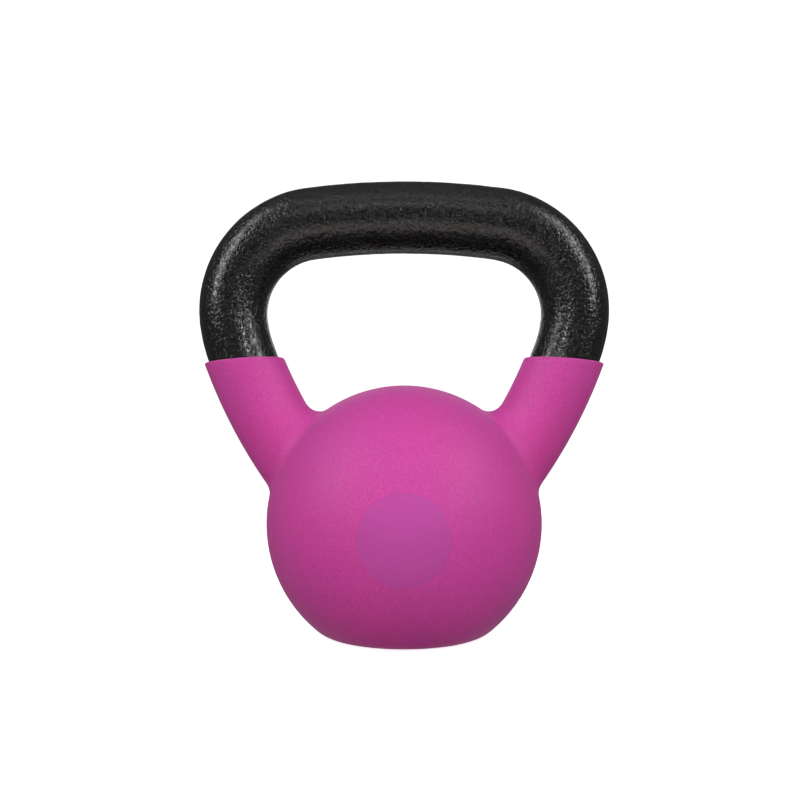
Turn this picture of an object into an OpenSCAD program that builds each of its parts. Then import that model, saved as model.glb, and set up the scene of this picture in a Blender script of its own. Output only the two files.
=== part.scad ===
// Coated cast-iron kettlebell, millimetres.
// Origin: centre of the flat that it stands on. +Z up, X across the handle, -Y is the front.

/* [Overall] */
// Overall height, floor to the top of the grip
height = 202; // [185:1:245]
// Overall width across the finished handle
width = 183; // [160:1:220]

/* [Ball] */
// Diameter of the bare iron ball
ball_d = 117.6; // [98:0.2:142]
// Diameter of the flat that the bell stands on
base_flat_d = 60; // [48:1:72]
// Radius of the round between the flat and the ball
base_edge_r = 15; // [6:0.5:18]

/* [Handle] */
// Diameter of the bare iron at the grip
grip_d = 31.3; // [30:0.1:37.6]
// Diameter of the bare iron at the horns, which are a little slimmer than the grip
horn_d = 29.4; // [25:0.1:29.8]
// Radius of the slight upward bow of the grip's axis
grip_bow_r = 320; // [200:5:1000]
// Bend radius of the handle's axis at each shoulder
shoulder_r = 40; // [32:1:48]
// Lean of the handle's axis past the vertical where each shoulder ends
shoulder_lean = 8; // [4:0.5:14]
// Bend radius of the handle's axis at each knee, below the shoulder
knee_r = 62; // [40:1:90]
// Lean of the handle's axis where each knee ends and the horn begins
horn_lean = 20; // [16:0.5:26]
// Distance between the two ends of the horns' axes, inside the ball
horn_root_w = 60; // [44:1:70]
// Height of those ends above the centre of the ball
horn_root_rise = 5; // [-5:1:15]

/* [Powder coat on the handle] */
// Thickness of the powder coat
powder_t = 0.2; // [0.1:0.05:0.6]
// Length of powder coat that runs on below the rim of the vinyl
powder_lap = 8; // [3:0.5:12]

/* [Vinyl coat on the ball] */
// Thickness of the vinyl over bare iron
vinyl_t = 2.3; // [1.2:0.1:3.5]
// Height of the vinyl's rim above the crown of the coated ball, at each leg
rim_rise = 11; // [6:0.5:16]
// Fall of the rim from its inner side to its outer side
rim_tilt = 4.5; // [0:0.5:12]

/* [Front label] */
// Diameter of the blank round label
label_d = 37; // [24:1:48]
// Thickness of the label
label_t = 0.4; // [0.3:0.1:1]
// Depth that the label is let into the vinyl
label_inset = 0.2; // [0.1:0.1:0.5]
// Distance of the label's centre below the centre of the ball
label_drop = 2; // [-8:0.5:8]

/* [Hidden] */

$fn = 96;

// Pieces are cut with blocks this large, which reach past the whole bell.
reach = 2 * max(height, width);

grip_r = grip_d / 2;
horn_r = horn_d / 2;
coat_r = ball_d / 2 + vinyl_t;

// The coated ball's centre follows from its radius, its flat and the round between them.
ball_z = base_edge_r + sqrt(pow(coat_r - base_edge_r, 2) - pow(base_flat_d / 2, 2));
crown_z = ball_z + coat_r;
label_bed_r = coat_r - label_inset;

// The handle slims in equal steps. Each stretch starts this far inside the thicker one above it.
shoulder_steps = 3;
taper_steps = shoulder_steps + 2;
stretch_overlap = 1;

// The radius of the bare handle after a number of steps down from the grip.
function taper_r(step) = grip_r + (horn_r - grip_r) * step / taper_steps;

// The handle's axis is a chain of arcs in the XZ plane. An angle is the axis's turn from level,
// counted from the middle of the grip, so the axis points straight down at 90 degrees.
axis_top = [0, height - grip_r - powder_t];
axis_half_w = width / 2 - taper_r(shoulder_steps) - powder_t;
grip_turn = asin((axis_half_w - shoulder_r) / (grip_bow_r - shoulder_r));
shoulder_turn = 90 + shoulder_lean;
knee_turn = 90 + horn_lean;

// Where an arc's centre lies when the arc leaves point p at a given turn, and where the arc ends.
function arc_centre(p, turn, bend_r) = p - bend_r * [sin(turn), cos(turn)];
function arc_end(centre, turn, bend_r) = centre + bend_r * [sin(turn), cos(turn)];

grip_c = arc_centre(axis_top, 0, grip_bow_r);
grip_end = arc_end(grip_c, grip_turn, grip_bow_r);
shoulder_c = arc_centre(grip_end, grip_turn, shoulder_r);
shoulder_end = arc_end(shoulder_c, shoulder_turn, shoulder_r);
knee_c = arc_centre(shoulder_end, shoulder_turn, knee_r);
knee_end = arc_end(knee_c, knee_turn, knee_r);

// The horn is the one arc that leaves the knee smoothly and meets its root inside the ball. Where
// that arc's bend radius would be longer than straight_over_r, the horn is a straight bar.
straight_over_r = 1500;
horn_root = [horn_root_w / 2, ball_z + horn_root_rise];
horn_chord = horn_root - knee_end;
horn_along = horn_chord * [cos(knee_turn), -sin(knee_turn)];
horn_across = horn_chord * [-sin(knee_turn), -cos(knee_turn)];
horn_bend_r = (horn_chord * horn_chord) / (2 * horn_across);
horn_end_turn = knee_turn + 2 * atan2(horn_across, horn_along);
horn_c = arc_centre(knee_end, knee_turn, horn_bend_r);
horn_is_straight = abs(horn_bend_r) > straight_over_r;

iron_color = [0.33, 0.33, 0.34];
powder_color = [0.13, 0.13, 0.13];
vinyl_color = [0.80, 0.33, 0.62];
label_color = [0.73, 0.29, 0.60];

// A round bar of radius bar_r, bent about centre c, between two turns of its axis.
module bent_bar(c, bend_r, turn_from, turn_to, bar_r) {
    flip = bend_r < 0 ? 180 : 0;
    translate([c[0], 0, c[1]])
        rotate([90, flip - 90 + max(turn_from, turn_to), 0])
            rotate_extrude(angle = abs(turn_to - turn_from))
                translate([abs(bend_r), 0])
                    circle(r = bar_r);
}

// One stretch of the handle's side, down from the grip. It starts inside the thicker stretch above,
// and its skin covers the face of the step at its lower end.
module stretch(c, bend_r, turn_from, turn_to, step, skin) {
    degrees_per_mm = sign(turn_to - turn_from) * 180 / (PI * abs(bend_r));
    bent_bar(c, bend_r, turn_from - stretch_overlap * degrees_per_mm, turn_to + skin * degrees_per_mm,
        taper_r(step) + skin);
}

// The whole handle, both horns included, thicker than the bare iron by skin all round.
module handle_bar(skin) {
    grip_reach = grip_turn + skin * 180 / (PI * grip_bow_r);
    shoulder_step_turn = (shoulder_turn - grip_turn) / shoulder_steps;
    bent_bar(grip_c, grip_bow_r, -grip_reach, grip_reach, grip_r + skin);
    for (side = [0, 1]) mirror([side, 0, 0]) {
        for (i = [1 : shoulder_steps])
            stretch(shoulder_c, shoulder_r, grip_turn + (i - 1) * shoulder_step_turn,
                grip_turn + i * shoulder_step_turn, i, skin);
        stretch(knee_c, knee_r, shoulder_turn, knee_turn, taper_steps - 1, skin);
        horn(skin);
    }
}

// The horn, from the knee to its root in the ball.
module horn(skin) {
    if (!horn_is_straight)
        stretch(horn_c, horn_bend_r, knee_turn, horn_end_turn, taper_steps, skin);
    else
        translate([horn_root[0], 0, horn_root[1]])
            rotate([0, atan2(-horn_chord[0], -horn_chord[1]), 0])
                cylinder(r = horn_r + skin, h = norm(horn_chord) + stretch_overlap);
}

// The ball, shrunk by inset all over from its coated size, with its rounded flat underneath.
module flat_ball(inset) {
    ball_r = coat_r - inset;
    edge_r = base_edge_r - inset;
    edge_c = [base_flat_d / 2, base_edge_r];
    outward = (edge_c - [0, ball_z]) / norm(edge_c - [0, ball_z]);
    rotate_extrude() difference() {
        intersection() {
            translate([0, ball_z]) circle(r = ball_r);
            translate([0, inset]) square([reach, reach]);
        }
        // What the round takes off the corner between the flat and the ball
        difference() {
            polygon([edge_c, [edge_c[0], -reach], [reach, -reach], edge_c + reach * outward]);
            translate(edge_c) circle(r = edge_r);
        }
    }
}

// Everything above the tilted plane of each rim, moved down by drop.
module above_rim(drop) {
    for (side = [0, 1]) mirror([side, 0, 0])
        translate([knee_end[0], 0, crown_z + rim_rise - drop])
            rotate([0, rim_tilt, 0])
                translate([-reach / 2, -reach / 2, 0])
                    cube(reach);
}

module iron_casting() {
    color(iron_color) {
        flat_ball(vinyl_t);
        handle_bar(0);
    }
}

module handle_powder_coat() {
    color(powder_color) difference() {
        intersection() {
            handle_bar(powder_t);
            above_rim(powder_lap);
        }
        handle_bar(0);
    }
}

// The jacket's outer shape: the coated ball, and the horns up to the rims.
module dipped_form() {
    flat_ball(0);
    difference() {
        handle_bar(vinyl_t);
        above_rim(0);
    }
}

// The round patch on the ball's front, from its bed in the vinyl out to its face.
module label_patch(back_r, face_r) {
    intersection() {
        translate([0, 0, ball_z]) difference() {
            sphere(r = face_r);
            sphere(r = back_r);
        }
        translate([0, 0, ball_z - label_drop])
            rotate([90, 0, 0])
                cylinder(d = label_d, h = reach);
    }
}

module vinyl_coat() {
    color(vinyl_color) difference() {
        dipped_form();
        flat_ball(vinyl_t);
        handle_bar(0);
        intersection() {
            handle_bar(powder_t);
            above_rim(powder_lap);
        }
        label_patch(label_bed_r, coat_r + label_t);
    }
}

module front_label() {
    color(label_color) label_patch(label_bed_r, label_bed_r + label_t);
}

iron_casting();
handle_powder_coat();
vinyl_coat();
front_label();
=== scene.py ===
"""The looks of a vinyl-dipped cast-iron kettlebell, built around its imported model.

Everything is in metres in the model's own frame: +Z up, X across the handle, and -Y the front.
"""

from __future__ import annotations

import logging
import math
from dataclasses import dataclass
from enum import Enum

import bmesh
import bpy
import numpy as np
from mathutils import Matrix, Vector, noise


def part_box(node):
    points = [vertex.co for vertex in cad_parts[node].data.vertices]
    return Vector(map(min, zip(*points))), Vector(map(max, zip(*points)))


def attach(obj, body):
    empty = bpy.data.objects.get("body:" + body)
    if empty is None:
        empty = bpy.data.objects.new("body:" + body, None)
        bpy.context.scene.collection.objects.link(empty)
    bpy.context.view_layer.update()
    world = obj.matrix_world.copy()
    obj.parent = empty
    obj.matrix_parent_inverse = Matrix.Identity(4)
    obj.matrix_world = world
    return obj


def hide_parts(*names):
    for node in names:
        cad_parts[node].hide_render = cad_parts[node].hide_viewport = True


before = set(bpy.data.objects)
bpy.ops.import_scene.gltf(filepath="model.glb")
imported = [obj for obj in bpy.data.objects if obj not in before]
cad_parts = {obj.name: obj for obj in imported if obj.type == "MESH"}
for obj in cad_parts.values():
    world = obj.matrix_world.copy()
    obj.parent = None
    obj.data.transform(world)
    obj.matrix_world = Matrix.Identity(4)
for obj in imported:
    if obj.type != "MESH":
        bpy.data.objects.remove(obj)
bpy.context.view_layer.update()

LOG = logging.getLogger("kettlebell")
MM = 0.001

# Vertices closer than this are one vertex.
MERGE_WITHIN = 0.001 * MM
# Distance to each side of a point over which a surface's slope is measured.
SLOPE_STEP = 0.02 * MM
# A slope this slight, squared, counts as this much, so that no point is thrown far off.
LEAST_SLOPE_SQUARED = 0.05
# Rounds of smoothing that even out a remeshed skin, each drawn back to its surface.
SMOOTH_ROUNDS = 5
# Faces round and up the ball's rough form, before it is remeshed.
ROUGH_BALL_SIDES, ROUGH_BALL_RINGS = 96, 64
# Nearly all of a noise's values lie between these.
NOISE_LOW, NOISE_HIGH = 0.3, 0.7


class Side(Enum):
    """The two sides of the bell, as the sign of X."""

    LEFT = -1
    RIGHT = 1


# ---------------------------------------------------------------------------------------------
# The shape of the bell
# ---------------------------------------------------------------------------------------------


@dataclass(frozen=True)
class Arc:
    """One round bend of the handle's axis, in the XZ plane.

    A turn is the axis's angle from level, in radians, counted from the middle of the grip. The
    axis points straight down at a quarter turn.
    """

    centre_x: float
    centre_z: float
    bend_r: float
    start: float
    end: float

    @classmethod
    def leaving(cls, point: tuple[float, float], bend_r: float, start: float, end: float) -> Arc:
        """Makes the arc that leaves a point of the axis at its first turn.

        Args:
            point: X and Z of the point.
            bend_r: Bend radius of the axis.
            start: Turn at the point.
            end: Turn where the arc ends.

        Returns:
            The arc.
        """
        x, z = point
        return cls(x - bend_r * math.sin(start), z - bend_r * math.cos(start), bend_r, start, end)

    def at(self, turn: float) -> tuple[float, float]:
        """Returns X and Z of the axis at a turn."""
        return (
            self.centre_x + self.bend_r * math.sin(turn),
            self.centre_z + self.bend_r * math.cos(turn),
        )

    def mirrored(self) -> Arc:
        """Returns the same arc on the other side of the bell, run the other way."""
        return Arc(-self.centre_x, self.centre_z, self.bend_r, -self.end, -self.start)

    def cut(self, start: float, end: float) -> Arc:
        """Returns the part of the arc between two turns."""
        return Arc(self.centre_x, self.centre_z, self.bend_r, max(self.start, start),
                   min(self.end, end))


@dataclass(frozen=True)
class BellShape:
    """The bell's sizes, and distances to its surfaces.

    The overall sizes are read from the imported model. The rest are the bends, rounds and fillets
    that its boxes can't tell.
    """

    height: float
    half_width: float
    ball_r: float
    vinyl_t: float
    powder_t: float
    grip_r: float = 15.85 * MM
    horn_r: float = 14.9 * MM
    taper_start: float = math.radians(15)
    taper_end: float = math.radians(110)
    grip_bow_r: float = 320 * MM
    shoulder_r: float = 40 * MM
    knee_r: float = 62 * MM
    shoulder_turn: float = math.radians(98)
    knee_turn: float = math.radians(110)
    horn_root_x: float = 30 * MM
    horn_root_rise: float = 5 * MM
    base_flat_r: float = 30 * MM
    base_edge_r: float = 15 * MM
    fillet_r: float = 7 * MM
    least_fillet_r: float = 0.05 * MM
    rim_rise: float = 11 * MM
    rim_tilt: float = math.radians(4.5)
    turns_tried: int = 400

    @classmethod
    def from_model(cls) -> BellShape:
        """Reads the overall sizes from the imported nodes' boxes."""
        _, iron_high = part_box("iron_casting")
        _, powder_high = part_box("handle_powder_coat")
        _, vinyl_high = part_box("vinyl_coat")
        return cls(
            height=powder_high.z,
            half_width=powder_high.x,
            ball_r=vinyl_high.y,
            vinyl_t=vinyl_high.y - iron_high.y,
            powder_t=powder_high.z - iron_high.z,
        )

    @property
    def ball_z(self) -> float:
        """Height of the ball's centre, from its flat and the round at the flat's edge."""
        return self.base_edge_r + math.sqrt(
            (self.ball_r - self.base_edge_r) ** 2 - self.base_flat_r**2
        )

    @property
    def crown_z(self) -> float:
        """Height of the top of the coated ball."""
        return self.ball_z + self.ball_r

    @property
    def coat_skin(self) -> float:
        """Thickness of the vinyl outside the finished handle."""
        return self.vinyl_t - self.powder_t

    def bar_r(self, turn: np.ndarray | float) -> np.ndarray | float:
        """Radius of the finished handle at a turn of its axis, which slims towards the horns."""
        share = np.clip((turn - self.taper_start) / (self.taper_end - self.taper_start), 0, 1)
        return self.grip_r + (self.horn_r - self.grip_r) * share

    def right_arcs(self) -> list[Arc]:
        """Returns the axis's arcs from the middle of the grip to the right horn's root."""
        axis_half_w = self.half_width - float(self.bar_r(math.pi / 2))
        grip_turn = math.asin((axis_half_w - self.shoulder_r) / (self.grip_bow_r - self.shoulder_r))
        top = (0.0, self.height - self.grip_r)
        grip = Arc.leaving(top, self.grip_bow_r, 0.0, grip_turn)
        shoulder = Arc.leaving(grip.at(grip_turn), self.shoulder_r, grip_turn, self.shoulder_turn)
        knee = Arc.leaving(
            shoulder.at(self.shoulder_turn), self.knee_r, self.shoulder_turn, self.knee_turn
        )
        return [grip, shoulder, knee, self._horn(knee.at(self.knee_turn))]

    def _horn(self, knee_end: tuple[float, float]) -> Arc:
        """Returns the arc that leaves the knee smoothly and ends at the horn's root in the ball."""
        chord = Vector(
            (self.horn_root_x - knee_end[0], self.ball_z + self.horn_root_rise - knee_end[1])
        )
        along = chord.dot(Vector((math.cos(self.knee_turn), -math.sin(self.knee_turn))))
        across = chord.dot(Vector((-math.sin(self.knee_turn), -math.cos(self.knee_turn))))
        bend_r = chord.length_squared / (2 * across)
        end = self.knee_turn + 2 * math.atan2(across, along)
        return Arc.leaving(knee_end, bend_r, self.knee_turn, end)

    def whole_axis(self) -> list[Arc]:
        """Returns the axis's arcs from the left horn's root to the right horn's."""
        grip, *rest = self.right_arcs()
        middle = Arc(grip.centre_x, grip.centre_z, grip.bend_r, -grip.end, grip.end)
        return [arc.mirrored() for arc in reversed(rest)] + [middle] + rest

    def rim_plane(self, side: Side, drop: float = 0.0) -> tuple[Vector, Vector]:
        """Returns a point and the upward normal of the plane of one rim.

        Args:
            side: Which leg.
            drop: How far below the rim the plane lies.

        Returns:
            The point and the normal.
        """
        knee_x, _ = self.right_arcs()[2].at(self.knee_turn)
        point = Vector((side.value * knee_x, 0.0, self.crown_z + self.rim_rise - drop))
        normal = Vector((side.value * math.sin(self.rim_tilt), 0.0, math.cos(self.rim_tilt)))
        return point, normal

    def turn_below_rim(self, drop: float) -> float:
        """Returns the turn at which the axis is a given distance below the right rim's plane."""
        point, normal = self.rim_plane(Side.RIGHT, drop)
        for arc in self.right_arcs()[1:]:
            turns = np.linspace(arc.start, arc.end, self.turns_tried)
            x = arc.centre_x + arc.bend_r * np.sin(turns) - point.x
            z = arc.centre_z + arc.bend_r * np.cos(turns) - point.z
            below = np.nonzero(x * normal.x + z * normal.z < 0)[0]
            if len(below):
                return float(turns[below[0]])
        raise ValueError("the handle's axis doesn't reach the plane of the rim")

    def to_ball(self, points: np.ndarray, inset: float) -> tuple[np.ndarray, np.ndarray]:
        """Measures points from the ball with its rounded flat.

        Args:
            points: One row of X, Y and Z for each point.
            inset: How far inside the coated ball the surface lies.

        Returns:
            The distances, negative inside, and one row of the direction out of the ball each.
        """
        rho = np.hypot(points[:, 0], points[:, 1])
        z = points[:, 2]
        away = points - (0.0, 0.0, self.ball_z)
        reach = np.linalg.norm(away, axis=1)
        to_sphere = reach - (self.ball_r - inset)
        across, up = rho - self.base_flat_r, z - self.base_edge_r
        lean_x, lean_z = self.base_flat_r, self.base_edge_r - self.ball_z
        on_flat = across <= 0
        on_edge = ~on_flat & (lean_x * up - lean_z * across < 0)
        distance = np.where(on_flat, np.maximum(inset - z, to_sphere), to_sphere)
        distance = np.where(on_edge, np.hypot(across, up) - (self.base_edge_r - inset), distance)
        return distance, away / np.maximum(reach, MM)[:, None]

    def to_handle(self, points: np.ndarray, skin: float) -> tuple[np.ndarray, np.ndarray]:
        """Measures points from the finished handle and its horns, grown by a skin.

        Args:
            points: One row of X, Y and Z for each point.
            skin: How much thicker than the finished handle the surface is.

        Returns:
            The distances, negative inside, and one row of the direction out of the bar each.
        """
        side = np.where(points[:, 0] < 0, -1.0, 1.0)
        x, y, z = points[:, 0] * side, points[:, 1], points[:, 2]
        nearest = np.full(len(points), np.inf)
        outward = np.zeros((len(points), 3))
        for arc in self.right_arcs():
            turn = np.arctan2(x - arc.centre_x, z - arc.centre_z)
            turn = np.clip(np.where(turn < arc.start - math.pi, turn + 2 * math.pi, turn),
                           arc.start, arc.end)
            off_x = x - arc.centre_x - arc.bend_r * np.sin(turn)
            off_z = z - arc.centre_z - arc.bend_r * np.cos(turn)
            reach = np.sqrt(off_x**2 + off_z**2 + y**2)
            distance = reach - self.bar_r(turn) - skin
            closer = distance < nearest
            nearest = np.where(closer, distance, nearest)
            away = np.stack([off_x * side, y, off_z], axis=1) / np.maximum(reach, MM)[:, None]
            outward = np.where(closer[:, None], away, outward)
        return nearest, outward

    def to_bell(self, points: np.ndarray, inset: float, skin: float) -> np.ndarray:
        """Measures points from the ball and handle together, with a fillet between them.

        Args:
            points: One row of X, Y and Z for each point.
            inset: How far inside the coated ball the ball's surface lies.
            skin: How much thicker than the finished handle the bar is.

        Returns:
            The distances, negative inside.
        """
        ball, ball_out = self.to_ball(points, inset)
        handle, handle_out = self.to_handle(points, skin)
        squareness = 1 - (ball_out * handle_out).sum(axis=1)
        fillet = np.maximum((self.fillet_r + inset) * squareness, self.least_fillet_r)
        in_fillet = np.hypot(np.maximum(fillet - ball, 0), np.maximum(fillet - handle, 0))
        return np.maximum(fillet, np.minimum(ball, handle)) - in_fillet


# ---------------------------------------------------------------------------------------------
# Mesh work
# ---------------------------------------------------------------------------------------------


def slope(distance, points: np.ndarray) -> tuple[np.ndarray, np.ndarray]:
    """Works out a distance function and its slope at some points.

    Args:
        distance: A function from points to distances.
        points: One row of X, Y and Z for each point.

    Returns:
        The distances, and one row of the slope for each point.
    """
    columns = []
    for axis in range(3):
        shift = np.zeros(3)
        shift[axis] = SLOPE_STEP
        rise = distance(points + shift) - distance(points - shift)
        columns.append(rise / (2 * SLOPE_STEP))
    return distance(points), np.stack(columns, axis=1)


def drawn_to(distance, points: np.ndarray, rounds: int = 4) -> np.ndarray:
    """Returns the points moved on to the surface where a distance function is nil."""
    for _ in range(rounds):
        value, gradient = slope(distance, points)
        steepness = np.maximum((gradient**2).sum(axis=1), LEAST_SLOPE_SQUARED)
        points = points - gradient * (value / steepness)[:, None]
    return points


def sweep(bm: bmesh.types.BMesh, shape: BellShape, arcs: list[Arc], skin: float,
          segments: int, spacing: float) -> list[list[bmesh.types.BMVert]]:
    """Sweeps a round bar along arcs of the handle's axis, ring by ring.

    Args:
        bm: The mesh to add it to.
        shape: The bell's shape, which gives the bar's radius.
        arcs: The stretch of the axis, each arc starting where the last ends.
        skin: How much thicker than the finished handle the bar is.
        segments: Vertices round the bar.
        spacing: Distance between rings along the axis.

    Returns:
        The first ring's vertices and the last ring's.
    """
    first = arcs[0]
    x, z = first.at(first.start)
    bar_r = float(shape.bar_r(abs(first.start))) + skin
    upright = Matrix.Rotation(math.pi / 2 + first.start, 4, "Y")
    ring = bmesh.ops.create_circle(
        bm, segments=segments, radius=bar_r, matrix=Matrix.Translation((x, 0, z)) @ upright
    )["verts"]
    ends = [list(ring)]
    edges = list({edge for vert in ring for edge in vert.link_edges})
    for arc in arcs:
        steps = max(2, round(arc.bend_r * (arc.end - arc.start) / spacing))
        turn_step = (arc.end - arc.start) / steps
        pivot = Vector((arc.centre_x, 0.0, arc.centre_z))
        for i in range(1, steps + 1):
            grown = bmesh.ops.extrude_edge_only(bm, edges=edges)["geom"]
            ring = [part for part in grown if isinstance(part, bmesh.types.BMVert)]
            edges = [part for part in grown if isinstance(part, bmesh.types.BMEdge)]
            bmesh.ops.rotate(bm, cent=pivot, matrix=Matrix.Rotation(turn_step, 3, "Y"), verts=ring)
            x, z = arc.at(arc.start + i * turn_step)
            new_r = float(shape.bar_r(abs(arc.start + i * turn_step))) + skin
            bmesh.ops.scale(bm, vec=Vector((1, 1, 1)) * (new_r / bar_r), verts=ring,
                            space=Matrix.Translation((-x, 0, -z)))
            bar_r = new_r
    ends.append(list(ring))
    return ends


def loop_edges(verts: list[bmesh.types.BMVert]) -> list[bmesh.types.BMEdge]:
    """Returns the edges that run between vertices of one set."""
    chosen = set(verts)
    edges = {edge for vert in verts for edge in vert.link_edges}
    return [edge for edge in edges if all(vert in chosen for vert in edge.verts)]


def rim_verts(bm: bmesh.types.BMesh, side: Side) -> list[bmesh.types.BMVert]:
    """Returns the open edge's vertices on one side of the bell."""
    return [v for v in bm.verts if v.is_boundary and v.co.x * side.value > 0]


def new_object(name: str, mesh: bpy.types.Mesh) -> bpy.types.Object:
    """Adds an object for a mesh to the scene and returns it."""
    obj = bpy.data.objects.new(name, mesh)
    bpy.context.scene.collection.objects.link(obj)
    return obj


def finished_mesh(name: str, bm: bmesh.types.BMesh) -> bpy.types.Mesh:
    """Writes a bmesh to a new smooth mesh, with doubles merged and faces turned outward."""
    bmesh.ops.remove_doubles(bm, verts=bm.verts, dist=MERGE_WITHIN)
    bmesh.ops.recalc_face_normals(bm, faces=bm.faces)
    for face in bm.faces:
        face.smooth = True
    mesh = bpy.data.meshes.new(name)
    bm.to_mesh(mesh)
    bm.free()
    return mesh


def even_skin(name: str, bm: bmesh.types.BMesh, distance, voxel: float) -> bmesh.types.BMesh:
    """Turns overlapping closed forms into one evenly meshed skin that lies on a surface.

    Args:
        name: Name for the working mesh.
        bm: The closed forms, which are freed.
        distance: The surface, as a function from points to distances.
        voxel: Size of the new mesh's faces.

    Returns:
        The skin.
    """
    rough = new_object(name, finished_mesh(name, bm))
    remesh = rough.modifiers.new("even", "REMESH")
    remesh.mode = "VOXEL"
    remesh.voxel_size = voxel
    evaluated = rough.evaluated_get(bpy.context.evaluated_depsgraph_get())
    mesh = bpy.data.meshes.new_from_object(evaluated)
    bpy.data.objects.remove(rough)
    skin = bmesh.new()
    skin.from_mesh(mesh)
    bpy.data.meshes.remove(mesh)
    for _ in range(SMOOTH_ROUNDS):
        bmesh.ops.smooth_vert(skin, verts=skin.verts, factor=0.5, use_axis_x=True,
                              use_axis_y=True, use_axis_z=True)
        place(skin.verts, drawn_to(distance, np.array([v.co for v in skin.verts]), 2))
    place(skin.verts, drawn_to(distance, np.array([v.co for v in skin.verts])))
    return skin


def place(verts, points: np.ndarray) -> None:
    """Moves vertices to the points given, in order."""
    for vert, point in zip(verts, points, strict=True):
        vert.co = point


# ---------------------------------------------------------------------------------------------
# Finishes
# ---------------------------------------------------------------------------------------------


class Nodes:
    """A material's nodes, with short calls for the ones used here."""

    def __init__(self, name: str) -> None:
        """Starts a material with an empty Principled surface on object coordinates."""
        self.material = bpy.data.materials.new(name)
        self.material.use_nodes = True
        self.tree = self.material.node_tree
        self.surface = self.tree.nodes["Principled BSDF"]
        self.place = self.tree.nodes.new("ShaderNodeTexCoord").outputs["Object"]

    def add(self, kind: str, inputs: dict | None = None, **settings):
        """Adds a node, with values or links for its inputs.

        Args:
            kind: Blender's name for the node.
            inputs: Values, or other nodes' outputs, by the input's name or number.
            settings: The node's own settings.

        Returns:
            The node.
        """
        node = self.tree.nodes.new(kind)
        for name, value in settings.items():
            setattr(node, name, value)
        for key, value in (inputs or {}).items():
            if isinstance(value, bpy.types.NodeSocket):
                self.tree.links.new(value, node.inputs[key])
            else:
                node.inputs[key].default_value = value
        return node

    def noise(self, scale: float, detail: float = 2.0, rough: float = 0.5, warp: float = 0.0):
        """Returns the value of a noise whose features are about 1/scale metres."""
        made = self.add("ShaderNodeTexNoise", {
            "Vector": self.place, "Scale": scale, "Detail": detail, "Roughness": rough,
            "Distortion": warp,
        })
        return made.outputs["Fac"]

    def ramp(self, value, low: float, high: float, to_low: float, to_high: float):
        """Returns a value mapped smoothly from one range to another."""
        made = self.add("ShaderNodeMapRange", {
            0: value, 1: low, 2: high, 3: to_low, 4: to_high,
        }, interpolation_type="SMOOTHSTEP")
        return made.outputs[0]

    def spread(self, noise_value, to_low: float, to_high: float):
        """Returns a noise mapped to a range, from the part of its own range that it keeps to."""
        return self.ramp(noise_value, NOISE_LOW, NOISE_HIGH, to_low, to_high)

    def grey(self, tone):
        """Returns a grey of some brightness."""
        return self.add("ShaderNodeCombineColor", {0: tone, 1: tone, 2: tone}).outputs[0]

    def maths(self, operation: str, first, second):
        """Returns the result of a sum on two values."""
        return self.add("ShaderNodeMath", {0: first, 1: second}, operation=operation).outputs[0]

    def mix(self, share, first, second):
        """Returns a colour between two colours."""
        made = self.add("ShaderNodeMix", {0: share, 6: first, 7: second}, data_type="RGBA")
        return made.outputs[2]

    def bump(self, height, strength: float, depth: float, under=None):
        """Returns a surface normal raised by a height of some depth in metres."""
        inputs = {"Height": height, "Strength": strength, "Distance": depth}
        if under is not None:
            inputs["Normal"] = under
        return self.add("ShaderNodeBump", inputs).outputs["Normal"]

    def connect(self, **links) -> bpy.types.Material:
        """Links values to the Principled surface's sockets and returns the material."""
        for name, value in links.items():
            self.tree.links.new(value, self.surface.inputs[name.replace("_", " ")])
        return self.material

    def fixed(self, **values) -> None:
        """Sets the Principled surface's sockets that are the same all over."""
        for name, value in values.items():
            self.surface.inputs[name.replace("_", " ")].default_value = value


Colour = tuple[float, float, float, float]


@dataclass(frozen=True)
class PinkVinyl:
    """The dip-moulded vinyl: a soft, finely grained pink with a broad dull sheen."""

    warm: Colour = (0.690, 0.056, 0.370, 1.0)
    cool: Colour = (0.670, 0.058, 0.385, 1.0)
    scuffed: Colour = (0.55, 0.13, 0.34, 1.0)
    drift_per_m: float = 22.0
    roughness: float = 0.58
    roughness_swing: float = 0.05
    grain_per_m: float = 1550.0
    grain_depth: float = 0.09 * MM
    grain_tone: float = 0.14
    scuff_per_m: float = 260.0
    scuff_height: float = 3.5 * MM
    scuff_roughness: float = 0.2

    def material(self) -> bpy.types.Material:
        """Builds the material."""
        n = Nodes("pink_vinyl")
        grain = n.noise(self.grain_per_m, 3.0, 0.6)
        peel = n.noise(self.grain_per_m / 4, 2.0)
        drift = n.ramp(n.noise(self.drift_per_m, 2.0), 0.35, 0.65, 0.0, 1.0)
        pink = n.mix(drift, self.warm, self.cool)
        light = n.grey(n.spread(grain, 1 - self.grain_tone, 1 + self.grain_tone))
        pink = n.add("ShaderNodeMix", {0: 1.0, 6: pink, 7: light},
                     data_type="RGBA", blend_type="MULTIPLY").outputs[2]
        height = n.add("ShaderNodeSeparateXYZ", {0: n.place}).outputs[2]
        low = n.ramp(height, 0.2 * MM, self.scuff_height, 1.0, 0.0)
        rubbed = n.ramp(n.noise(self.scuff_per_m, 4.0, 0.7), 0.52, 0.66, 0.0, 0.7)
        scuff = n.maths("MULTIPLY", low, rubbed)
        colour = n.mix(scuff, pink, self.scuffed)
        roughness = n.spread(peel, self.roughness - self.roughness_swing,
                             self.roughness + self.roughness_swing)
        roughness = n.maths("ADD", roughness, n.maths("MULTIPLY", scuff, self.scuff_roughness))
        normal = n.bump(peel, 0.25, self.grain_depth * 1.6)
        normal = n.bump(grain, 0.35, self.grain_depth, normal)
        n.fixed(Specular_IOR_Level=0.45, Sheen_Weight=0.16, Sheen_Roughness=0.45,
                Sheen_Tint=(0.90, 0.72, 1.0, 1.0))
        return n.connect(Base_Color=colour, Roughness=roughness, Normal=normal)


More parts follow.
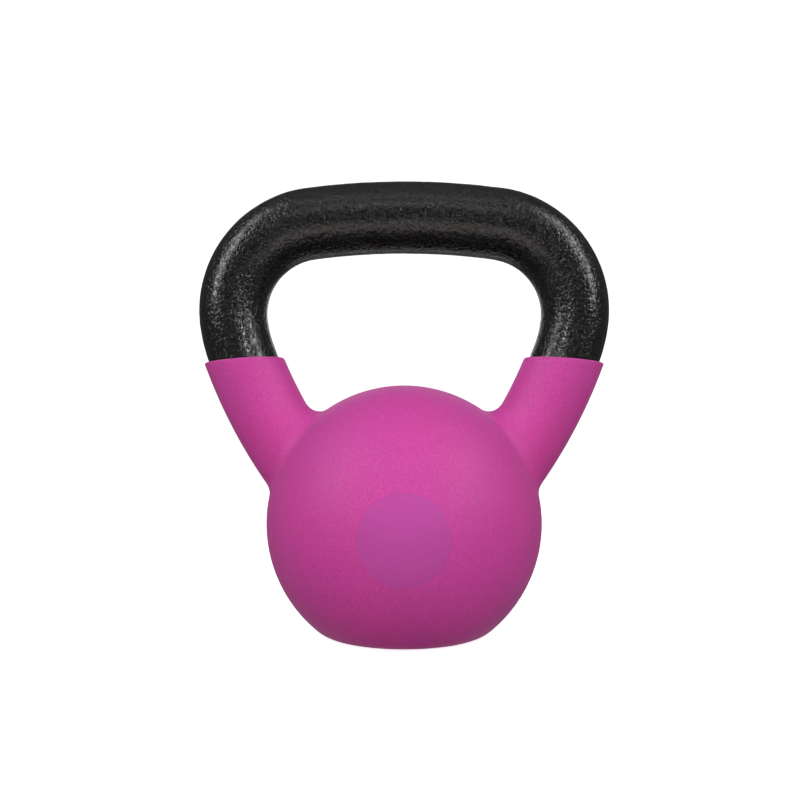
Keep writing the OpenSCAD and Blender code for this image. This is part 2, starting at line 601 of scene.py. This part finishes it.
@dataclass(frozen=True)
class BlackPowderCoat:
    """The handle's baked powder coat: near black and satin, with a close wrinkled grain whose
    hollows are painted darker as painted shade.
    """

    # Painted shade: the darker black given to the wrinkles' hollows.
    shaded_hollow: Colour = (0.0060, 0.0060, 0.0064, 1.0)
    raised: Colour = (0.0125, 0.0125, 0.0130, 1.0)
    roughness: float = 0.19
    roughness_swing: float = 0.06
    cloud_per_m: float = 45.0
    cloud_swing: float = 0.012
    wrinkle_per_m: float = 620.0
    wrinkle_depth: float = 0.13 * MM
    speck_per_m: float = 1900.0
    speck_depth: float = 0.014 * MM

    def material(self) -> bpy.types.Material:
        """Builds the material."""
        n = Nodes("black_powder_coat")
        wrinkle = n.noise(self.wrinkle_per_m, 1.5, 0.5, 0.8)
        ridge = n.ramp(wrinkle, 0.34, 0.66, 0.0, 1.0)
        speck = n.noise(self.speck_per_m, 3.0, 0.65)
        cloud = n.noise(self.cloud_per_m, 3.0)
        # Painted shade: the wrinkles' hollows are coloured darker than their crests, following the
        # bump's height.
        colour = n.mix(ridge, self.shaded_hollow, self.raised)
        roughness = n.spread(speck, self.roughness - self.roughness_swing,
                             self.roughness + self.roughness_swing)
        roughness = n.maths("ADD", roughness,
                            n.spread(cloud, -self.cloud_swing, self.cloud_swing))
        normal = n.bump(ridge, 1.0, self.wrinkle_depth)
        normal = n.bump(speck, 1.0, self.speck_depth, normal)
        n.fixed(Specular_IOR_Level=0.52)
        return n.connect(Base_Color=colour, Roughness=roughness, Normal=normal)


@dataclass(frozen=True)
class GreyIron:
    """The casting's own skin: dark sand-cast grey iron with a trace of rust in its hollows."""

    skin: Colour = (0.090, 0.090, 0.094, 1.0)
    bloom: Colour = (0.150, 0.140, 0.135, 1.0)
    rust: Colour = (0.145, 0.062, 0.030, 1.0)
    sand_per_m: float = 1100.0
    sand_depth: float = 0.2 * MM
    patch_per_m: float = 60.0

    def material(self) -> bpy.types.Material:
        """Builds the material."""
        n = Nodes("grey_iron")
        sand = n.noise(self.sand_per_m, 4.0, 0.65)
        patch = n.noise(self.patch_per_m, 4.0, 0.6)
        iron = n.mix(n.ramp(sand, 0.35, 0.7, 0.0, 1.0), self.skin, self.bloom)
        colour = n.mix(n.ramp(patch, 0.60, 0.74, 0.0, 0.7), iron, self.rust)
        roughness = n.spread(patch, 0.55, 0.8)
        n.fixed(Metallic=0.7)
        return n.connect(Base_Color=colour, Roughness=roughness,
                         Normal=n.bump(sand, 0.7, self.sand_depth))


@dataclass(frozen=True)
class LabelVinyl:
    """The blank round label: flat orchid film, a little cooler and smoother than the coat."""

    film: Colour = (0.58, 0.074, 0.400, 1.0)
    pale: Colour = (0.60, 0.078, 0.415, 1.0)
    mottle_per_m: float = 90.0
    roughness: float = 0.62
    roughness_swing: float = 0.04
    tooth_per_m: float = 2300.0
    tooth_depth: float = 0.02 * MM

    def material(self) -> bpy.types.Material:
        """Builds the material."""
        n = Nodes("label_vinyl")
        tooth = n.noise(self.tooth_per_m, 2.0)
        mottle = n.spread(n.noise(self.mottle_per_m, 2.0), 0.0, 1.0)
        colour = n.mix(mottle, self.film, self.pale)
        roughness = n.spread(tooth, self.roughness - self.roughness_swing,
                             self.roughness + self.roughness_swing)
        n.fixed(Specular_IOR_Level=0.3)
        return n.connect(Base_Color=colour, Roughness=roughness,
                         Normal=n.bump(tooth, 0.3, self.tooth_depth))


# ---------------------------------------------------------------------------------------------
# The pieces
# ---------------------------------------------------------------------------------------------


def seat(obj: bpy.types.Object, node: str, material: bpy.types.Material) -> None:
    """Dresses a piece and lets it stand for its CAD node.

    Args:
        obj: The piece.
        node: The CAD node that it replaces.
        material: The piece's material.
    """
    obj.data.materials.append(material)
    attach(obj, "root")
    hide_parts(node)
    triangles = sum(len(face.vertices) - 2 for face in obj.data.polygons)
    LOG.info("%s: %d triangles, stands for %s", obj.name, triangles, node)


@dataclass
class IronCasting:
    """The one-piece casting of ball, horns and handle, which the coatings hide."""

    shape: BellShape
    voxel: float = 1.7 * MM
    segments: int = 48
    spacing: float = 3.0 * MM

    def build(self) -> bpy.types.Object:
        """Builds the casting and returns it."""
        shape = self.shape
        skin = -shape.powder_t
        bm = rough_bell(shape, shape.whole_axis(), shape.vinyl_t, skin, self.segments, self.spacing)
        bm = even_skin("casting_form", bm,
                       lambda points: shape.to_bell(points, shape.vinyl_t, skin), self.voxel)
        casting = new_object("casting", finished_mesh("casting", bm))
        seat(casting, "iron_casting", GreyIron().material())
        return casting


def rough_bell(shape: BellShape, arcs: list[Arc], inset: float, skin: float, segments: int,
               spacing: float) -> bmesh.types.BMesh:
    """Makes the closed forms of the ball and of one stretch of handle, which overlap.

    Args:
        shape: The bell's shape.
        arcs: The stretch of the handle's axis.
        inset: How far inside the coated ball the ball's surface lies.
        skin: How much thicker than the finished handle the bar is.
        segments: Vertices round the bar.
        spacing: Distance between the bar's rings.

    Returns:
        The forms.
    """
    bm = bmesh.new()
    bmesh.ops.create_uvsphere(bm, u_segments=ROUGH_BALL_SIDES, v_segments=ROUGH_BALL_RINGS,
                              radius=shape.ball_r - inset,
                              matrix=Matrix.Translation((0, 0, shape.ball_z)))
    bmesh.ops.bisect_plane(bm, geom=bm.verts[:] + bm.edges[:] + bm.faces[:],
                           plane_co=(0, 0, inset), plane_no=(0, 0, 1), clear_inner=True)
    bmesh.ops.holes_fill(bm, edges=[e for e in bm.edges if e.is_boundary], sides=0)
    for end in sweep(bm, shape, arcs, skin, segments, spacing):
        bmesh.ops.contextual_create(bm, geom=end + loop_edges(end))
    return bm


@dataclass
class HandlePowderCoat:
    """The textured powder coat on the handle, which runs a little way in under the vinyl."""

    shape: BellShape
    lap: float = 10 * MM
    segments: int = 96
    spacing: float = 1.1 * MM
    inner_spacing: float = 3.0 * MM
    lump_depth: float = 0.07 * MM
    lump_per_m: float = 110.0
    dimple_depth: float = 0.045 * MM
    dimple_per_m: float = 330.0

    def build(self) -> bpy.types.Object:
        """Builds the coat and returns it."""
        shape = self.shape
        end = shape.turn_below_rim(self.lap)
        arcs = [arc.cut(-end, end) for arc in shape.whole_axis() if abs(arc.start) < end
                or abs(arc.end) < end]
        bm = bmesh.new()
        outer = sweep(bm, shape, arcs, 0.0, self.segments, self.spacing)
        self._uneven(bm)
        inner = sweep(bm, shape, arcs, -shape.powder_t, self.segments, self.inner_spacing)
        for outside, inside in zip(outer, inner, strict=True):
            self._close_end(bm, outside, inside)
        coat = new_object("handle_coat", finished_mesh("handle_coat", bm))
        seat(coat, "handle_powder_coat", BlackPowderCoat().material())
        return coat

    def _close_end(self, bm: bmesh.types.BMesh, outside: list[bmesh.types.BMVert],
                   inside: list[bmesh.types.BMVert]) -> None:
        """Turns the outer wall in at one end, on to the vertices of the inner wall's end."""
        grown = bmesh.ops.extrude_edge_only(bm, edges=loop_edges(outside))["geom"]
        for vert in [part for part in grown if isinstance(part, bmesh.types.BMVert)]:
            vert.co = min(((near.co - vert.co).length, near.co.to_tuple()) for near in inside)[1]

    def _uneven(self, bm: bmesh.types.BMesh) -> None:
        """Gives the swept bar the slight lumps of a casting and of its baked coat."""
        verts = bm.verts[:]
        points = np.array([vert.co for vert in verts])
        _, outward = slope(lambda at: self.shape.to_handle(at, 0.0)[0], points)
        rise = [noise.noise(vert.co * self.lump_per_m) * self.lump_depth
                + noise.noise(vert.co * self.dimple_per_m) * self.dimple_depth
                for vert in verts]
        place(verts, points + outward * np.array(rise)[:, None])


@dataclass
class VinylCoat:
    """The dipped jacket over the ball and the lower horns, open at a rim round each leg."""

    shape: BellShape
    voxel: float = 1.34 * MM
    segments: int = 64
    spacing: float = 2.0 * MM
    above_rim: float = 9 * MM
    lip_r: float = 0.7 * MM
    lip_steps: int = 5
    inner_lip_r: float = 0.35 * MM
    inner_lip_steps: int = 3
    clearance: float = 0.02 * MM
    powder_below_rim: float = 9 * MM
    cut_within: float = 0.3 * MM

    def build(self) -> bpy.types.Object:
        """Builds the jacket and returns it."""
        shape = self.shape
        top = shape.turn_below_rim(-self.above_rim)
        right = [arc.cut(top, math.pi) for arc in shape.right_arcs() if arc.end > top]
        left = [arc.mirrored() for arc in reversed(right)]
        bm = rough_bell(shape, right, 0.0, shape.coat_skin, self.segments, self.spacing)
        for end in sweep(bm, shape, left, shape.coat_skin, self.segments, self.spacing):
            bmesh.ops.contextual_create(bm, geom=end + loop_edges(end))
        bm = even_skin("jacket_form", bm,
                       lambda points: shape.to_bell(points, 0.0, shape.coat_skin), self.voxel)
        for side in Side:
            self._open_rim(bm, side)
        inner = self._lining(bm)
        for side in Side:
            self._lip(bm, side, inner)
        jacket = new_object("jacket", finished_mesh("jacket", bm))
        # The powder coat doesn't reflect the jacket, as if a black card stood between them.
        jacket.visible_glossy = False
        seat(jacket, "vinyl_coat", PinkVinyl().material())
        return jacket

    def _open_rim(self, bm: bmesh.types.BMesh, side: Side) -> None:
        """Cuts a leg's skin off just below its rim, and makes the cut flat."""
        point, normal = self.shape.rim_plane(side, self.lip_r)
        near = [v for v in bm.verts if v.co.x * side.value > 0 and v.co.z > self.shape.ball_z]
        geom = near + list({e for v in near for e in v.link_edges})
        geom += list({f for v in near for f in v.link_faces})
        bmesh.ops.bisect_plane(bm, geom=geom, dist=self.cut_within, plane_co=point,
                               plane_no=normal, clear_outer=True)
        for vert in rim_verts(bm, side):
            vert.co -= normal * (vert.co - point).dot(normal)

    def _lining(self, bm: bmesh.types.BMesh) -> dict[Side, list[bmesh.types.BMVert]]:
        """Adds the jacket's inner wall, and returns the wall's open edge at each rim."""
        shape = self.shape
        copied = bmesh.ops.duplicate(bm, geom=bm.verts[:] + bm.edges[:] + bm.faces[:])["geom"]
        inner = [part for part in copied if isinstance(part, bmesh.types.BMVert)]
        faces = [part for part in copied if isinstance(part, bmesh.types.BMFace)]
        points = np.array([vert.co for vert in inner])
        _, gradient = slope(lambda at: shape.to_bell(at, 0.0, shape.coat_skin), points)
        outward = gradient / np.linalg.norm(gradient, axis=1)[:, None]
        powder_ends = [shape.rim_plane(side, self.powder_below_rim) for side in Side]
        over_powder = np.array([
            any((vert.co - point).dot(normal) > 0 for point, normal in powder_ends)
            for vert in inner
        ])
        depth = np.where(over_powder, shape.coat_skin - self.clearance, shape.vinyl_t)
        place(inner, points - outward * depth[:, None])
        bmesh.ops.reverse_faces(bm, faces=faces)
        return {side: [v for v in inner if v.is_boundary and v.co.x * side.value > 0]
                for side in Side}

    def _lip(self, bm: bmesh.types.BMesh, side: Side,
             inner: dict[Side, list[bmesh.types.BMVert]]) -> None:
        """Rounds a rim over from its outer wall to the handle and joins it to the inner wall."""
        shape = self.shape
        turn = shape.turn_below_rim(self.lip_r)
        arc = next(a for a in shape.right_arcs()[1:] if a.start <= turn <= a.end)
        x, z = arc.at(turn)
        centre = Vector((side.value * x, 0.0, z))
        up = Vector((-side.value * math.cos(turn), 0.0, math.sin(turn)))
        _, normal = shape.rim_plane(side)
        inside = set(inner[side])
        ring = [v for v in rim_verts(bm, side) if v not in inside]
        edges = loop_edges(ring)
        start = {vert: vert.co.copy() for vert in ring}
        follows = {vert: vert for vert in ring}
        for rise, inward in self._lip_profile():
            grown = bmesh.ops.extrude_edge_only(bm, edges=edges)["geom"]
            new_ring = [part for part in grown if isinstance(part, bmesh.types.BMVert)]
            edges = [part for part in grown if isinstance(part, bmesh.types.BMEdge)]
            moved = {}
            for vert in new_ring:
                below = next(e.other_vert(vert) for e in vert.link_edges
                             if e.other_vert(vert) in follows)
                moved[vert] = follows[below]
                foot = start[follows[below]]
                across = foot - centre
                across -= normal * across.dot(normal)
                wall = self._wall(foot, across.normalized())
                vert.co = foot - across.normalized() * wall * inward + up * rise
            follows = moved
        bmesh.ops.bridge_loops(bm, edges=edges + loop_edges(inner[side]))

    def _lip_profile(self) -> list[tuple[float, float]]:
        """Returns the lip's rings, as height above the cut and share of the wall's thickness."""
        wall = self.shape.coat_skin
        rings = []
        for i in range(1, self.lip_steps + 1):
            angle = math.pi / 2 * i / self.lip_steps
            rings.append((self.lip_r * math.sin(angle), self.lip_r * (1 - math.cos(angle)) / wall))
        rings.append((self.lip_r, 1 - self.inner_lip_r / wall))
        for i in range(1, self.inner_lip_steps + 1):
            angle = math.pi / 2 * i / self.inner_lip_steps
            rings.append((self.lip_r - self.inner_lip_r * (1 - math.cos(angle)),
                          1 - self.inner_lip_r * (1 - math.sin(angle)) / wall))
        return rings

    def _wall(self, foot: Vector, across: Vector) -> float:
        """Returns the distance from a point of the rim straight in to the handle."""
        depth = self.shape.coat_skin
        for _ in range(4):
            at = np.array([foot - across * depth])
            depth += float(self.shape.to_handle(at, self.clearance)[0][0])
        return depth


@dataclass
class FrontLabel:
    """The blank round label, a thin patch curved like the ball, with a softly rounded edge."""

    shape: BellShape
    radius: float = 18.5 * MM
    drop: float = 2.0 * MM
    proud: float = 0.2 * MM
    thickness: float = 0.4 * MM
    edge_r: float = 0.15 * MM
    segments: int = 128
    rings: int = 14
    edge_steps: int = 4

    def build(self) -> bpy.types.Object:
        """Builds the label and returns it."""
        bm = bmesh.new()
        first, *rest = self._profile()
        verts = [bm.verts.new(first)]
        for point in rest:
            grown = bmesh.ops.extrude_vert_indiv(bm, verts=verts)
            verts = grown["verts"]
            verts[0].co = point
        bmesh.ops.spin(bm, geom=bm.verts[:] + bm.edges[:], cent=(0, 0, 0), axis=(0, 0, 1),
                       angle=2 * math.pi, steps=self.segments, use_merge=True)
        droop = math.asin(self.drop / self.shape.ball_r)
        bmesh.ops.rotate(bm, cent=(0, 0, 0), verts=bm.verts,
                         matrix=Matrix.Rotation(math.pi / 2 + droop, 3, "X"))
        bmesh.ops.translate(bm, vec=(0, 0, self.shape.ball_z), verts=bm.verts)
        label = new_object("label", finished_mesh("label", bm))
        seat(label, "front_label", LabelVinyl().material())
        return label

    def _profile(self) -> list[tuple[float, float, float]]:
        """Returns the label's section from the middle of its face round to that of its back."""
        face = self.shape.ball_r + self.proud
        back = face - self.thickness
        flat_r = self.radius - self.edge_r
        rings = [(flat_r * i / self.rings, face) for i in range(self.rings + 1)]
        for i in range(1, self.edge_steps + 1):
            angle = math.pi / 2 * i / self.edge_steps
            rings.append((flat_r + self.edge_r * math.sin(angle),
                          face - self.edge_r * (1 - math.cos(angle))))
        rings.append((self.radius, back))
        rings += [(flat_r * i / self.rings, back) for i in range(self.rings, -1, -1)]
        return [(across, 0.0, math.sqrt(out**2 - across**2)) for across, out in rings]


# ---------------------------------------------------------------------------------------------
# The studio
# ---------------------------------------------------------------------------------------------


@dataclass(frozen=True)
class SoftBox:
    """A soft studio light that faces the bell, or a pair of them, one on each side.

    Its place is told from the bell: the turn from straight in front, and the height as an angle.
    """

    name: str
    turn: float
    rise: float
    watts: float
    width: float
    depth: float
    distance: float = 1.1
    tint: tuple[float, float, float] = (1.0, 1.0, 1.0)
    paired: bool = False
    beam: float = 180
    aim_past: float = 0.0

    def build(self, target: Vector) -> None:
        """Adds the light, or both of the pair.

        Args:
            target: The middle of the bell. Each of a pair may aim some way past it instead, at
                the leg on the far side.
        """
        for sign in (-1, 1) if self.paired else (1,):
            turn, rise = math.radians(self.turn) * sign, math.radians(self.rise)
            toward = Vector((math.sin(turn) * math.cos(rise), -math.cos(turn) * math.cos(rise),
                             math.sin(rise)))
            name = self.name + {-1: "_left", 1: "_right"}[sign] if self.paired else self.name
            light = bpy.data.lights.new(name, "AREA")
            light.shape = "RECTANGLE"
            light.size, light.size_y = self.width, self.depth
            light.spread = math.radians(self.beam)
            light.energy = self.watts
            light.color = self.tint
            lamp = bpy.data.objects.new(name, light)
            lamp.location = target + toward * self.distance
            aim = target - Vector((sign * self.aim_past, 0.0, 0.0))
            lamp.rotation_euler = (aim - lamp.location).to_track_quat("-Z", "Y").to_euler()
            lamp.visible_camera = False
            bpy.context.scene.collection.objects.link(lamp)


WARM_TINT = (1.0, 0.92, 0.87)
COOL_TINT = (0.92, 0.95, 1.0)

SOFT_BOXES = (
    SoftBox("overhead", 0, 88, 0.40, 0.9, 0.8, tint=COOL_TINT),
    SoftBox("over_front", 0, 62, 0.66, 0.8, 0.3),
    SoftBox("high_front", 0, 36, 0.68, 0.5, 0.3),
    SoftBox("low_front", 0, -31, 2.9, 1.2, 0.6, tint=WARM_TINT),
    SoftBox("front_strips", 25, 16, 0.022, 0.12, 0.34, paired=True, beam=10, aim_past=0.09),
    SoftBox("side_banks", 60, 25, 3.6, 0.20, 0.50, paired=True),
    SoftBox("high_side_banks", 68, 48, 1.6, 0.25, 0.40, tint=COOL_TINT, paired=True),
    SoftBox("low_side_banks", 70, -20, 0.15, 0.3, 0.3, tint=WARM_TINT, paired=True),
    SoftBox("low_back", 180, -38, 0.6, 0.8, 0.3),
    SoftBox("back_fill", 180, 15, 1.6, 0.9, 0.6),
)


@dataclass
class Studio:
    """The pale floor that runs up into a round backdrop, the lights and the camera."""

    shape: BellShape
    view_distance: float = 425.6 * MM
    view_height: float = 89.7 * MM
    lens_mm: float = 42.75
    shift_right: float = -0.0052
    shift_up: float = 0.0415
    floor_r: float = 1.6
    floor_sides: int = 96
    cove_r: float = 0.9
    cove_steps: int = 16
    wall_h: float = 2.0
    air: float = 0.09
    paper_per_m: float = 3.0
    floor_glow: float = 0.82
    glow_from: float = 0.12
    glow_to: float = 0.7

    def build(self) -> None:
        """Builds everything round the bell."""
        self._backdrop()
        target = Vector((0.0, 0.0, self.shape.height / 2))
        for box in SOFT_BOXES:
            box.build(target)
        self._air()
        self._camera()
        scene = bpy.context.scene
        scene.view_settings.view_transform = "Standard"
        scene.view_settings.look = "None"

    def _backdrop(self) -> None:
        """Makes the round floor, with a cove that runs up into a wall all round."""
        bm = bmesh.new()
        rim = bmesh.ops.create_circle(bm, segments=self.floor_sides, radius=self.floor_r,
                                      cap_ends=True)["verts"]
        edges = loop_edges(rim)
        last_r, last_z = self.floor_r, 0.0
        for i in range(1, self.cove_steps + 1):
            angle = math.pi / 2 * i / self.cove_steps
            new_r = self.floor_r + self.cove_r * math.sin(angle)
            new_z = self.cove_r * (1 - math.cos(angle))
            edges = self._grow(bm, edges, new_r / last_r, new_z - last_z)
            last_r, last_z = new_r, new_z
        self._grow(bm, edges, 1.0, self.wall_h)
        sheet = new_object("backdrop", finished_mesh("backdrop", bm))
        sheet.data.materials.append(self._paper())
        sheet.visible_diffuse = False
        sheet.visible_glossy = False
        sheet.visible_shadow = False

    def _grow(self, bm: bmesh.types.BMesh, edges: list[bmesh.types.BMEdge], widen: float,
              rise: float) -> list[bmesh.types.BMEdge]:
        """Adds one ring to the backdrop and returns its edges."""
        grown = bmesh.ops.extrude_edge_only(bm, edges=edges)["geom"]
        verts = [part for part in grown if isinstance(part, bmesh.types.BMVert)]
        bmesh.ops.scale(bm, vec=(widen, widen, 1.0), verts=verts)
        bmesh.ops.translate(bm, vec=(0.0, 0.0, rise), verts=verts)
        return [part for part in grown if isinstance(part, bmesh.types.BMEdge)]

    def _paper(self) -> bpy.types.Material:
        """Returns the backdrop's pale paper, which is lit a little from behind."""
        n = Nodes("pale_paper")
        colour = n.grey(n.spread(n.noise(self.paper_per_m, 2.0), 0.90, 0.93))
        reach = n.add("ShaderNodeVectorMath", {0: n.place}, operation="LENGTH").outputs["Value"]
        glow = n.ramp(reach, self.glow_from, self.glow_to, self.floor_glow, 1.0)
        n.fixed(Roughness=0.9, Specular_IOR_Level=0.1, Emission_Color=(1.0, 1.0, 1.0, 1.0))
        return n.connect(Base_Color=colour, Emission_Strength=glow)

    def _air(self) -> None:
        """Adds a faint even light from all round."""
        world = bpy.data.worlds.new("studio_air")
        world.use_nodes = True
        sky = world.node_tree.nodes["Background"]
        sky.inputs["Color"].default_value = (1.0, 1.0, 1.0, 1.0)
        sky.inputs["Strength"].default_value = self.air
        bpy.context.scene.world = world

    def _camera(self) -> None:
        """Puts the camera level in front of the bell, a little below its middle."""
        data = bpy.data.cameras.new("front_camera")
        data.lens = self.lens_mm
        data.sensor_width = 36.0
        data.shift_x, data.shift_y = self.shift_right, self.shift_up
        camera = bpy.data.objects.new("front_camera", data)
        camera.location = (0.0, -self.view_distance, self.view_height)
        camera.rotation_euler = (math.pi / 2, 0.0, 0.0)
        bpy.context.scene.collection.objects.link(camera)
        bpy.context.scene.camera = camera


def main() -> None:
    """Builds the bell piece by piece, then the studio round it."""
    logging.basicConfig(level=logging.INFO, format="%(message)s")
    shape = BellShape.from_model()
    Studio(shape).build()
    for piece in (IronCasting(shape), HandlePowderCoat(shape), VinylCoat(shape), FrontLabel(shape)):
        piece.build()


if __name__ == "__main__":
    main()
